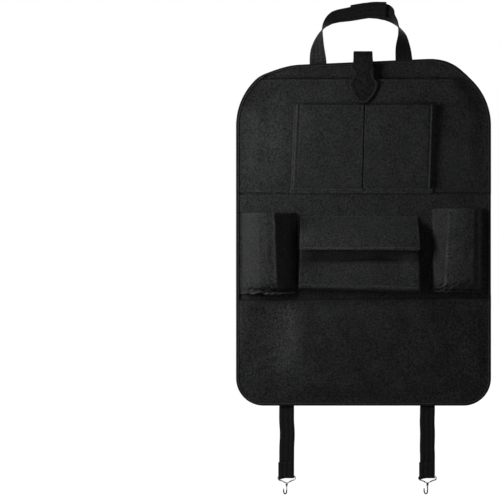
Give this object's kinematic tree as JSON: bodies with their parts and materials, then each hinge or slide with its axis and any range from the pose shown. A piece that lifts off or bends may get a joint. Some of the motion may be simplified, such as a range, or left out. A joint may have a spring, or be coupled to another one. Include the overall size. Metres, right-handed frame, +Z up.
{
  "type": "car seat back organizer",
  "caption": "Dark felt organizer that hangs on a seat back, with magazine, phone, bottle and tissue pockets, a carrying handle and wire hooks on elastic straps.",
  "frame": {"origin": "centre of the back panel's flat rear face, which lies against the seat back", "axes": "+X to the right as seen from the front, +Y out of the rear face towards the seat, +Z up towards the handle"},
  "size_m": [0.418, 0.0658, 0.808],
  "materials": {
    "felt": "dark grey pressed felt, matt",
    "edge_tape": "woven polyester edge tape",
    "webbing": "woven polyester webbing",
    "elastic": "woven elastic, ribbed along its length",
    "hook_and_loop": "hook-and-loop tape",
    "wire": "bright plated steel wire"
  },
  "bodies": {
    "organizer": {"back_panel": "felt", "edge_binding": "edge_tape", "magazine_pocket_panel": "felt", "left_phone_pocket": "felt", "right_phone_pocket": "felt", "left_bottle_pocket": "felt", "right_bottle_pocket": "felt", "tissue_pocket_box": "felt", "tissue_pocket_flap": "felt", "lower_front_panel": "felt", "left_handle_strap": "webbing", "right_handle_strap": "webbing", "handle_hook_tape": "hook_and_loop", "handle_loop_tape": "hook_and_loop", "closure_tab": "felt", "tab_loop_patch": "hook_and_loop", "tab_hook_patch": "hook_and_loop", "left_lower_strap": "elastic", "right_lower_strap": "elastic"},
    "left_hook": {"left_wire_hook": "wire"},
    "right_hook": {"right_wire_hook": "wire"}
  },
  "joints": [
    {"name": "left_hook_swing", "type": "hinge", "parent": "organizer", "child": "left_hook", "pos_m": [-0.126, -0.0025, -0.397], "axis": [1, 0, 0], "range_deg": [-110, 110]},
    {"name": "right_hook_swing", "type": "hinge", "parent": "organizer", "child": "right_hook", "pos_m": [0.105, -0.0025, -0.397], "axis": [1, 0, 0], "range_deg": [-110, 110]}
  ]
}
